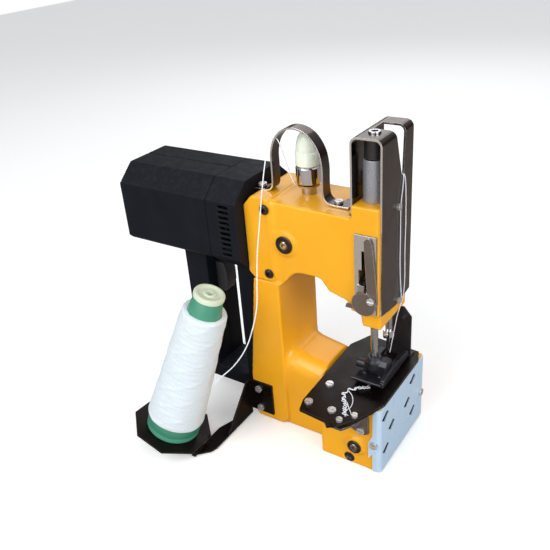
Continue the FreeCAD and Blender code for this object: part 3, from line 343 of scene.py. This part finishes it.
def show(name, shaper, body, slot, *replaced, sharp=38, rounding=0, bends=None):
    """Turns a bmesh into a shown piece that stands for the CAD nodes it replaces. It rides on a body, or,
    when bends are given, stays in place on no body; the body and the points in bends are not used."""
    bmesh.ops.recalc_face_normals(shaper, faces=shaper.faces)
    mesh = bpy.data.meshes.new(name)
    shaper.to_mesh(mesh)
    shaper.free()
    mesh.polygons.foreach_set("use_smooth", [True] * len(mesh.polygons))
    mesh.set_sharp_from_angle(angle=math.radians(sharp))
    piece = bpy.data.objects.new(name, mesh)
    bpy.context.scene.collection.objects.link(piece)
    if rounding:
        bevel = piece.modifiers.new("bevel", "BEVEL")
        bevel.width = rounding * MM
        bevel.segments = 2
        bevel.angle_limit = math.radians(40)
        bevel.harden_normals = True
    if bends:
        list(bends)
        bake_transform(piece)
    else:
        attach(piece, body)
    if replaced:
        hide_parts(*replaced)
    return paint(piece, slot)


def soften(node, width, angle=30):
    """Breaks the sharp edges of a CAD node with a small bevel, so that they catch the light."""
    piece = nodes[node]
    weld = piece.modifiers.new("weld", "WELD")
    weld.merge_threshold = 0.00002
    flatten = piece.modifiers.new("flatten", "DECIMATE")
    flatten.decimate_type = "DISSOLVE"
    flatten.angle_limit = math.radians(0.5)
    bevel = piece.modifiers.new("bevel", "BEVEL")
    bevel.width = width * MM
    bevel.segments = 2
    bevel.limit_method = "ANGLE"
    bevel.angle_limit = math.radians(angle)
    normals = piece.modifiers.new("normals", "WEIGHTED_NORMAL")
    normals.weight = 100
    piece.data.polygons.foreach_set("use_smooth", [True] * len(piece.data.polygons))
    return piece


def prism(shaper, outline, axis, low, high):
    """Adds a closed solid: an outline in the plane square to an axis, from low to high along it, in mm."""
    def corner(u, v, height):
        point = {"x": (height, u, v), "y": (u, height, v), "z": (u, v, height)}[axis]
        return shaper.verts.new(mm(*point))

    ends = [[corner(u, v, height) for u, v in outline] for height in (low, high)]
    shaper.faces.new(ends[0])
    shaper.faces.new(list(reversed(ends[1])))
    count = len(outline)
    for index in range(count):
        following = (index + 1) % count
        shaper.faces.new((ends[0][index], ends[1][index], ends[1][following], ends[0][following]))


def spun(shaper, outline, centre, direction=(0, 0, 1), steps=48, wobble=None, hexagons=()):
    """Adds a turned solid: radius and height pairs, in mm, spun around a direction through a centre."""
    axis = Vector(direction).normalized()
    turn = axis.to_track_quat("Z", "Y").to_matrix()
    rings = []
    for radius, height in outline:
        if radius < 1e-6:
            rings.append([shaper.verts.new(mm(*centre) + turn @ mm(0, 0, height))])
            continue
        ring = []
        for step in range(steps):
            angle = 2 * math.pi * step / steps
            reach = radius + (wobble(angle, height) if wobble else 0)
            if radius in hexagons:
                reach = radius * math.cos(math.pi / 6) / math.cos(angle % (math.pi / 3) - math.pi / 6)
            ring.append(shaper.verts.new(
                mm(*centre) + turn @ mm(reach * math.cos(angle), reach * math.sin(angle), height)))
        rings.append(ring)
    closed = rings[0] is not rings[-1] and len(rings[0]) > 1 and len(rings[-1]) > 1
    pairs = list(zip(rings, rings[1:])) + ([(rings[-1], rings[0])] if closed else [])
    for lower, upper in pairs:
        for step in range(steps):
            following = (step + 1) % steps
            corners = []
            for ring, place in ((lower, step), (lower, following), (upper, following), (upper, step)):
                vert = ring[place % len(ring)]
                if vert not in corners:
                    corners.append(vert)
            if len(corners) > 2:
                shaper.faces.new(corners)


def smooth_path(points, step=1.2):
    """Points along a Catmull-Rom curve through the given points, about one step apart, in mm."""
    knots = [Vector(point) for point in points]
    knots = [2 * knots[0] - knots[1]] + knots + [2 * knots[-1] - knots[-2]]
    path = []
    for a, b, c, d in zip(knots, knots[1:], knots[2:], knots[3:]):
        count = max(2, int((c - b).length / step))
        for index in range(count):
            t = index / count
            path.append(0.5 * (2 * b + (c - a) * t + (2 * a - 5 * b + 4 * c - d) * t * t
                               + (3 * b - a - 3 * c + d) * t ** 3))
    path.append(knots[-2])
    return path


def along(path, up):
    """Gives each point of a path with the step there and two directions square to the path."""
    for index, point in enumerate(path):
        ahead = path[min(index + 1, len(path) - 1)] - path[max(index - 1, 0)]
        heading = ahead.normalized()
        side = heading.cross(up)
        if side.length < 0.05:
            side = heading.orthogonal()
        side.normalize()
        up = side.cross(heading)
        yield point, ahead, side, up


def tube(shaper, path, radius, sides=8):
    """Adds a round tube along a path in mm, closed at both ends."""
    angles = [2 * math.pi * k / sides for k in range(sides)]
    rings = []
    for point, _, side, up in along(path, Vector((0.13, 0.31, 0.94))):
        ring = [point + radius * (side * math.cos(angle) + up * math.sin(angle)) for angle in angles]
        rings.append([shaper.verts.new(place * MM) for place in ring])
    for lower, upper in zip(rings, rings[1:]):
        for k in range(sides):
            following = (k + 1) % sides
            shaper.faces.new((lower[k], lower[following], upper[following], upper[k]))
    shaper.faces.new(rings[0])
    shaper.faces.new(list(reversed(rings[-1])))


def twine(shaper, points, radius=0.5, lay=3.0):
    """Adds a two-ply thread along a path: two strands that wind around each other once per lay, in mm."""
    path = smooth_path(points, 0.6)
    for phase in (0, math.pi):
        strand = []
        travelled = 0.0
        for point, ahead, side, up in along(path, Vector((0.2, 0.3, 0.93))):
            travelled += ahead.length / 2
            angle = phase + 2 * math.pi * travelled / lay
            strand.append(point + 0.42 * radius * (side * math.cos(angle) + up * math.sin(angle)))
        tube(shaper, strand, 0.6 * radius, 6)


def cast(node, voxel, passes, *extras):
    """CAD node and extra closed solids grown into one skin with rounded edges, as if cast or moulded."""
    shaper = bmesh.new()
    shaper.from_mesh(nodes[node].data)
    for extra in extras:
        extra(shaper)
    bmesh.ops.remove_doubles(shaper, verts=shaper.verts, dist=0.00001)
    mesh = bpy.data.meshes.new(f"{node}_skin")
    shaper.to_mesh(mesh)
    shaper.free()
    piece = bpy.data.objects.new(f"{node}_skin", mesh)
    bpy.context.scene.collection.objects.link(piece)
    grow = piece.modifiers.new("grow", "REMESH")
    grow.mode = "VOXEL"
    grow.voxel_size = voxel * MM
    grow.use_smooth_shade = True
    relax = piece.modifiers.new("relax", "SMOOTH")
    relax.factor = 0.5
    relax.iterations = passes
    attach(piece, body_of[node])
    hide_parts(node)
    return paint(piece, slot_of[node])


# ---- castings ----

NEAR = (0, -1, 0)
BASE_CAP = (-0.6, 21.6)
ARM_CAP = (-69.3, 186.8)


def band(shaper, low_x, high_x, half, low_z, high_z, corner):
    """Adds a block along X, half wide to each side, whose four long edges are rounded, in mm."""
    outline = []
    centres = ((half - corner, high_z - corner), (corner - half, high_z - corner),
               (corner - half, low_z + corner), (half - corner, low_z + corner))
    for start, (centre_y, centre_z) in enumerate(centres):
        for step in range(6):
            angle = math.pi / 2 * (start + step / 5)
            outline.append((centre_y + corner * math.cos(angle), centre_z + corner * math.sin(angle)))
    prism(shaper, outline, "x", low_x, high_x)


def seam_lip(shaper):
    """Raised lip of the arm where the gear case meets it."""
    band(shaper, -84, -79.6, 28.7, 151, 222.4, 4)
    band(shaper, -80, -78.4, 28.0, 151.5, 221.8, 4)


def case_lip(shaper):
    """Carries the case's skin into the lip, so that only a fine joint shows."""
    band(shaper, -86, -81.2, 29.0, 150.4, 223.0, 4)


def bed_sweep(shaper):
    """Swept fillet where the round bed runs into the column."""
    radius = 8
    steps = 12
    for step in range(steps):
        angle = math.pi / 2 * (step + 0.5) / steps
        swell = radius * (1 - math.sin(angle))
        reach = radius * (1 - math.cos(angle))
        band(shaper, -80, -76.6 + reach, 27 + 0.2 * swell, 20, 77.6 + swell, 15)


def soft_pads(shaper):
    """Soft pads around the two bearing caps on the near side."""
    spun(shaper, [(0, 0), (9.8, 0), (8.4, 2.8), (0, 2.8)], (BASE_CAP[0], -44, BASE_CAP[1]), NEAR)
    spun(shaper, [(0, 0), (11.4, 0), (9.8, 1.9), (0, 1.9)], (ARM_CAP[0], -26.8, ARM_CAP[1]), NEAR)


cast("main_casting", 0.9, 14, seam_lip, bed_sweep, soft_pads)
cast("gear_case", 0.8, 12, case_lip)

# ---- housing ----

for node in ("near_handle_shell", "far_handle_shell"):
    cast(node, 0.7, 3)
cast("motor_front_housing", 0.6, 2)


# ---- thread cone ----

cone_axis = joints["thread_cone_turn"]["axis"]
cone_foot = [place / MM for place in joints["thread_cone_turn"]["pos_m"]]


def wound(angle, height):
    """Uneven layers of crossed windings, in mm of radius."""
    bands = 0.07 * math.sin(height * 1.45 + 2 * angle) + 0.06 * math.sin(height * 0.93 - 3 * angle)
    sag = 0.30 * math.sin(2 * angle + height * 0.09) * math.sin(height * 0.17 + angle)
    fold = 0.28 * max(0, math.sin(height * 0.33 - 4 * angle)) ** 6
    return bands + sag + fold + 0.05 * math.sin(height * 4.1 + 5 * angle)


def cone():
    """Wound yarn on its core, with the cap in the core's top, as radius and height over the tray."""
    shaper = bmesh.new()
    side = [(25.3 - 6.4 * share, 15.6 + 112 * share) for share in (k / 150 for k in range(151))]
    shoulder = [(18.6, 128.6), (17.8, 129.2), (14.4, 129.2)]
    spun(shaper, [(23.0, 14.0), (24.6, 14.4)] + side + shoulder, cone_foot, cone_axis, 96, wound)
    show("wound_yarn", shaper, "cone", "white_yarn", "thread_winding", sharp=70)
    shaper = bmesh.new()
    core = [(22.0, 0), (23.4, 0), (23.8, 0.4), (23.8, 3), (23.5, 3.4), (23.5, 6), (23.7, 6.4), (23.2, 14.2),
            (14.2, 130), (12.2, 142.3), (11.8, 142.9), (10.9, 142.9), (10.4, 142.5), (21.4, 1)]
    spun(shaper, core, cone_foot, cone_axis, 64)
    show("paper_core", shaper, "cone", "green_core_plastic", "cone_core")
    shaper = bmesh.new()
    cap = [(3.2, 136), (9.6, 136), (9.9, 142.9), (12.4, 142.9), (13.1, 143.6), (13.1, 146.2), (12.7, 147.2),
           (11.7, 147.7), (10.2, 147.7), (9.4, 147.1), (7.4, 146.7), (5.2, 146.6), (4.7, 147.4),
           (3.4, 147.5), (3.2, 146.8)]
    spun(shaper, cap, cone_foot, cone_axis, 64)
    show("core_cap", shaper, "cone", "cream_cap_plastic", "cone_cap")


cone()


# ---- sheet metal and small parts ----

# Bevel width in mm, and the CAD nodes that get it.
SOFTENED = {
    0.5: ("throat_plate", "trigger", "power_inlet", "timing_belt"),
    0.35: ("needle_guard_hood", "bag_guide_plate", "cone_tray_bracket", "lifter_lever", "thread_knife",
           "presser_spring_tube", "regulator_stem", "presser_regulator_cap"),
    0.25: ("front_cover_plate", "lifter_slide_plate", "knife_bracket", "thread_hook_bracket",
           "pan_head_screws", "small_screws", "tension_collar", "tension_stud", "needle_clamp",
           "presser_bar_guide_block", "feed_dog", "looper", "connecting_rod", "upper_belt_pulley",
           "lower_belt_pulley"),
}
for bevel_width, softened_nodes in SOFTENED.items():
    for node in softened_nodes:
        soften(node, bevel_width)


def strap(shaper, path, thickness, low_y, high_y):
    """Adds a bent strap: a path of x and z, thickened, from low_y to high_y across the machine, in mm."""
    points = smooth_path([(x, 0, z) for x, z in path], 1.0)
    outline = []
    for side in (1, -1):
        edge = []
        for index, point in enumerate(points):
            heading = (points[min(index + 1, len(points) - 1)] - points[max(index - 1, 0)]).normalized()
            offset = side * thickness / 2
            edge.append((point.x - heading.z * offset, point.z + heading.x * offset))
        outline += edge if side > 0 else list(reversed(edge))
    prism(shaper, outline, "y", low_y, high_y)


def hoop():
    """Bent strap over the tension unit, with rounded bends at its feet."""
    low, high = box_mm("thread_hoop")
    sheet = 1.5
    left, right = low.z + 3.9, low.z + sheet / 2
    shaper = bmesh.new()
    left_foot = [(low.x, left), (low.x + 6, left), (-92.4, left), (-88.4, left + 1.4), (-86.3, left + 5),
                 (-85.8, left + 12)]
    arch = [(-85.7, 244), (-85.4, 256), (-81.6, 267), (-73.6, 274.8), (-63.2, 277), (-52, 272.8),
            (-44, 262.4), (-41, 250), (-41, 236)]
    right_foot = [(-40.9, right + 9), (-39.8, right + 4), (-36.4, right + 0.8), (-32, right), (-26, right),
                  (high.x, right)]
    strap(shaper, left_foot + arch + right_foot, sheet, low.y, high.y)
    show("bent_hoop", shaper, "frame", "bright_sheet_steel", "thread_hoop", rounding=0.25)


def caps_and_sockets():
    """Black washers with a socket screw in each: shaft caps on the near side, case screws on both sides."""
    washers = bmesh.new()
    for (x, z), face, radius, height in ((BASE_CAP, -46.4, 6.2, 1.9), (ARM_CAP, -28.4, 7.6, 1.5)):
        spun(washers, [(3.7, 0), (radius, 0), (radius, height - 0.5), (radius - 0.7, height), (4.3, height),
                       (3.7, height - 0.6)], (x, face, z), NEAR)
    show("cap_washers", washers, "frame", slot_of["bearing_end_caps"], "bearing_end_caps")
    socket, rim = 1.8, 3.4
    head = [(0, 0.4), (socket, 0.4), (socket, 2.2), (2.9, 2.2), (rim, 1.7), (rim, -1), (0, -1)]
    for name, (x, z), face, slot in (("base_cap_screw", BASE_CAP, -46.6, "grey_bracket_steel"),
                                     ("arm_cap_screw", ARM_CAP, -28.5, "bronze")):
        shaper = bmesh.new()
        spun(shaper, head, (x, face, z), NEAR, 36, hexagons=(socket,))
        show(name, shaper, "frame", slot)
    shaper = bmesh.new()
    low, high = box_mm("socket_screws")
    x = -85.5
    for side, face in ((-1, low.y), (1, high.y)):
        for z in (low.z + rim, high.z - rim):
            spun(shaper, head, (x, face - side * 1.6, z), (0, side, 0), 36, hexagons=(socket,))
            spun(shaper, [(rim, 0), (4.3, 0), (4.3, 0.5), (4, 0.8), (rim, 0.8)], (x, face - side * 1.2, z),
                 (0, side, 0))
    show("case_socket_screws", shaper, "frame", slot_of["socket_screws"], "socket_screws")


hoop()
caps_and_sockets()


def knob():
    """Milky dome of the thread tension, with a small step around it."""
    low, high = box_mm("tension_knob")
    base, top, x, y = low.z, high.z, (low.x + high.x) / 2, (low.y + high.y) / 2
    height = top - base
    skirt = [(2.5, base), (9.4, base), (9.9, base + 0.6), (9.9, base + 0.38 * height),
             (9.6, base + 0.40 * height)]
    dome = [(9.1 * math.cos(a) ** 0.8, base + 0.42 * height + 0.58 * height * math.sin(a))
            for a in (math.pi / 2 * k / 14 for k in range(14))]
    bore = [(0, top), (0, base + 11), (2.5, base + 11)]
    shaper = bmesh.new()
    spun(shaper, skirt + dome + bore, (x, y, 0))
    show("tension_dome", shaper, "tension_adjuster", "milky_knob_plastic", "tension_knob")


knob()


# ---- presser foot ----

def foot_extras(shaper):
    """Round shoulder, thick cross pin and bulky right cheek that make the foot's top plump."""
    bar_y = -10
    shoulder = [(0, 80), (7.4, 80), (7.8, 81), (7.6, 87.4), (6.2, 90.2), (0, 90.4)]
    spun(shaper, shoulder, (0, bar_y, 0))
    pin = [(0, -15.5), (3.2, -15.5), (4.1, -14.6), (4.1, 5.6), (3.4, 6.4), (0, 6.4)]
    spun(shaper, pin, (0, bar_y, 80.4), (1, 0, 0))
    cheek = [(-15.4, 76.6), (-4, 76.6), (-2, 79), (-3, 88), (-6, 89.6), (-12.4, 89.6), (-15.4, 86)]
    prism(shaper, cheek, "x", 5.2, 12.4)


cast("presser_foot_hub", 0.4, 5, foot_extras)


def sole_extras(shaper):
    """Toe turned up at the near end and a raised wall along the outer side; the needle slot stays open."""
    toe = [(-29.4, 77.6), (-28.6, 78.6), (-24, 75.6), (-19, 74.2), (11, 74.2), (11, 70.4), (-19, 70.4),
           (-24.4, 71.8)]
    prism(shaper, toe, "x", -12.6, 14)
    wall = [(-25, 73), (-23, 78.4), (-16, 81.2), (4, 81.6), (25, 79.2), (26.6, 73)]
    prism(shaper, wall, "x", 11.4, 15)


cast("presser_foot_sole", 0.4, 4, sole_extras)


# ---- threads ----

def fine_piece(name, shaper, *replaced, bends=None):
    """Shows thread, on the frame body unless bends are given, with the finer look of single thread."""
    piece = show(name, shaper, "frame", "white_yarn", *replaced, sharp=70, bends=bends)
    return paint(piece, "fine_thread")


def cone_to_discs():
    """Thread that hangs from the cone, climbs over the hoop and ends between the discs."""
    shaper = bmesh.new()
    climb = [(-114.6, -84.8, 70.5), (-104, -83, 82), (-92.3, -80, 95), (-84, -74.5, 109), (-79.5, -69, 124),
             (-78.6, -60, 143), (-82.6, -51, 161), (-85, -44, 182), (-86.4, -35, 207), (-87, -26, 235),
             (-86, -20, 255)]
    fall = [(-83.4, -16.2, 266.6), (-81, -13, 268), (-79, -10.5, 262), (-76, -7.5, 247), (-73.8, -5, 234),
            (-72.2, -2.8, 228.2), (-71.4, 0.5, 227.4), (-71, 5, 227.4)]
    twine(shaper, climb + fall, 0.55)
    fine_piece("cone_to_discs_thread", shaper, "sewing_thread")


def hood_to_needle():
    """Two runs down the hood's outer face, and the run from the lower guide to the needle's eye."""
    face = 12.55
    guide, eye = (face + 1.2, 9.6, 134), (1.5, 17.2, 78)
    shaper = bmesh.new()
    twine(shaper, [(face - 2.4, 11, 243.2), (face + 0.2, 11.4, 243.6), (face + 0.9, 9.6, 236),
                   (face + 1.0, 6.4, 222), (face + 0.9, 6.8, 200), (face + 0.8, 7.4, 170),
                   (face + 1.6, 8.8, 146), (face + 2.0, 9.4, 139)], 0.45)
    twine(shaper, [(face - 2.4, 13, 243.4), (face + 0.2, 13.2, 243.2), (face + 1.0, 14.6, 232),
                   (face + 1.2, 15.6, 205), (face + 1.0, 15.8, 180), (face + 1.6, 15.4, 155),
                   (face + 2.0, 12.2, 141), guide], 0.45)
    fine_piece("hood_thread", shaper)
    shaper = bmesh.new()
    twine(shaper, [guide, (10.8, 9.4, 121), (6.4, 11.8, 98), eye], 0.45)
    fine_piece("needle_thread", shaper, bends=("needle_assembly", mm(*guide), mm(*eye)))


def sewn_off_chain():
    """Loose chain of stitches on the plate: three looped threads and two straighter tails."""
    shaper = bmesh.new()
    top = box_mm("throat_plate")[1].z + 0.55
    course = [(2.6, -23.6, top - 0.3), (0.4, -25.6, top - 0.2), (-2.4, -28, top + 0.5), (-6.8, -31.4, top),
              (-10, -35.4, top + 0.6), (-12.4, -40.4, top), (-10.4, -45.2, top + 0.5), (-7.8, -49.4, top),
              (-4.4, -53.4, top + 0.5), (-2.6, -58, top), (-0.6, -62.6, top + 0.4), (3, -65.6, top)]
    spine = smooth_path(course, 0.5)
    for phase, offset, pitch in ((0, 1.5, 0.52), (2.1, 1.2, 0.47), (4.2, 1.7, 0.41)):
        wave = []
        for index, point in enumerate(spine):
            ahead = (spine[min(index + 1, len(spine) - 1)] - spine[max(index - 1, 0)]).normalized()
            across = Vector((-ahead.y, ahead.x, 0))
            swing = math.sin(index * pitch + phase)
            lift = Vector((0, 0, 0.5 + 0.4 * math.cos(index * pitch + phase)))
            wave.append(point + across * offset * swing + lift + 0.25 * across * rng.uniform(-1, 1))
        tube(shaper, wave, 0.3, 6)
    twine(shaper, [(3, -65.6, top), (5.4, -66.8, top), (6.4, -64, top + 0.2), (3.4, -59.4, top),
                   (-0.6, -55, top + 0.3), (-4.2, -50.4, top)], 0.4)
    twine(shaper, [(-10, -37, top + 0.6), (-5, -41, top + 0.8), (-1.2, -47, top + 0.2), (0.2, -54, top),
                   (-1.4, -60, top + 0.2), (1.6, -64.6, top)], 0.38)
    fine_piece("sewn_off_chain", shaper)


cone_to_discs()
hood_to_needle()
sewn_off_chain()

for node, item in nodes.items():
    paint(item, slot_of[node])


# ---- studio ----

def room():
    """White to the camera, softly grey to matt faces, a dim workshop in what shiny faces mirror."""
    world = bpy.data.worlds.new("studio")
    world.use_nodes = True
    tree = world.node_tree
    output = tree.nodes["World Output"]
    path = tree.nodes.new("ShaderNodeLightPath")

    def glow(colour, strength):
        node = tree.nodes.new("ShaderNodeBackground")
        node.inputs["Strength"].default_value = strength
        if isinstance(colour, tuple):
            node.inputs["Color"].default_value = (*colour, 1)
        else:
            tree.links.new(colour, node.inputs["Color"])
        return node.outputs[0]

    def choose(share, first, second):
        node = tree.nodes.new("ShaderNodeMixShader")
        tree.links.new(share, node.inputs[0])
        tree.links.new(first, node.inputs[1])
        tree.links.new(second, node.inputs[2])
        return node.outputs[0]

    split = tree.nodes.new("ShaderNodeSeparateXYZ")
    tree.links.new(tree.nodes.new("ShaderNodeTexCoord").outputs["Generated"], split.inputs[0])
    shades = tree.nodes.new("ShaderNodeValToRGB")
    height = tree.nodes.new("ShaderNodeMapRange")
    height.inputs["From Min"].default_value = -1
    tree.links.new(split.outputs["Z"], height.inputs["Value"])
    tree.links.new(height.outputs["Result"], shades.inputs["Fac"])
    stops = shades.color_ramp.elements
    stops[0].position, stops[0].color = 0.42, (0.10, 0.055, 0.035, 1)
    stops[1].position, stops[1].color = 0.97, (0.95, 0.98, 1.0, 1)
    between = ((0.55, (0.16, 0.12, 0.10, 1)), (0.66, (0.30, 0.30, 0.32, 1)), (0.8, (0.55, 0.57, 0.6, 1)))
    for position, colour in between:
        element = stops.new(position)
        element.color = colour
    matt = glow((0.94, 0.97, 1.0), 0.52)
    mirrored = glow(shades.outputs["Color"], 0.9)
    soft = choose(path.outputs["Is Glossy Ray"], matt, mirrored)
    whole = choose(path.outputs["Is Camera Ray"], soft, glow((1, 1, 1), 1.0))
    tree.links.new(whole, output.inputs["Surface"])
    return world


def pale_floor(scene):
    """Pale floor under the machine, dimmer to everything but the camera."""
    mesh = bpy.data.meshes.new("floor")
    shaper = bmesh.new()
    bmesh.ops.create_grid(shaper, x_segments=8, y_segments=8, size=3)
    shaper.to_mesh(mesh)
    shaper.free()
    floor = bpy.data.objects.new("floor", mesh)
    scene.collection.objects.link(floor)
    floor.location.z = cad_low.z - 0.0002
    n = Nodes("floor")
    pale = n.mix(n.noise(6, 4), (0.93, 0.93, 0.93), (0.9, 0.9, 0.9))
    seen = n.add("ShaderNodeLightPath").outputs["Is Camera Ray"]
    colour = n.mix(seen, (0.34, 0.30, 0.27), pale)
    lift = n.maths("MULTIPLY", seen, 0.22)
    mesh.materials.append(n.finish(colour, 0.85, Emission_Color=(1.0, 1.0, 1.0), Emission_Strength=lift))


def lamps(scene):
    """Four soft lamps: name, place, size, power in watts and how much of it shiny faces mirror."""
    middle = Vector((-0.06, 0, 0.12))
    for name, place, size, power, shine in (
            ("key", (-0.4, -1.0, 1.0), 0.9, 10, 0.7), ("fill", (0.1, -1.2, 0.3), 1.0, 5, 0.1),
            ("side", (1.2, -0.35, 0.6), 0.8, 10, 0.3), ("back", (-0.4, 1.1, 1.0), 1.0, 4, 1.0)):
        lamp = bpy.data.lights.new(name, "AREA")
        lamp.size = size
        lamp.energy = power
        lamp.specular_factor = shine
        holder = bpy.data.objects.new(name, lamp)
        scene.collection.objects.link(holder)
        holder.location = place
        holder.rotation_euler = (middle - Vector(place)).to_track_quat("-Z", "Y").to_euler()


def camera(scene):
    """Camera from the front right, seen from above, rolled a little."""
    azimuth, elevation, roll = math.radians(35.144), math.radians(28.83), math.radians(4.508)
    place = (0.20173, -0.42933, 0.42688)
    lens = bpy.data.cameras.new("camera")
    lens.lens = 44.8
    holder = bpy.data.objects.new("camera", lens)
    scene.collection.objects.link(holder)
    level = Vector((-math.sin(azimuth), math.cos(azimuth), 0))
    forward = level * math.cos(elevation) - Vector((0, 0, math.sin(elevation)))
    right = Vector((math.cos(azimuth), math.sin(azimuth), 0))
    down = forward.cross(right)
    rolled_right = math.cos(roll) * right + math.sin(roll) * down
    rolled_down = math.cos(roll) * down - math.sin(roll) * right
    facing = Matrix((rolled_right, -rolled_down, -forward)).transposed().to_4x4()
    holder.matrix_world = Matrix.Translation(place) @ facing
    scene.camera = holder


def studio():
    """Backdrop, floor, lamps and camera."""
    scene = bpy.context.scene
    scene.view_settings.view_transform = "Standard"
    scene.world = room()
    pale_floor(scene)
    lamps(scene)
    camera(scene)


studio()
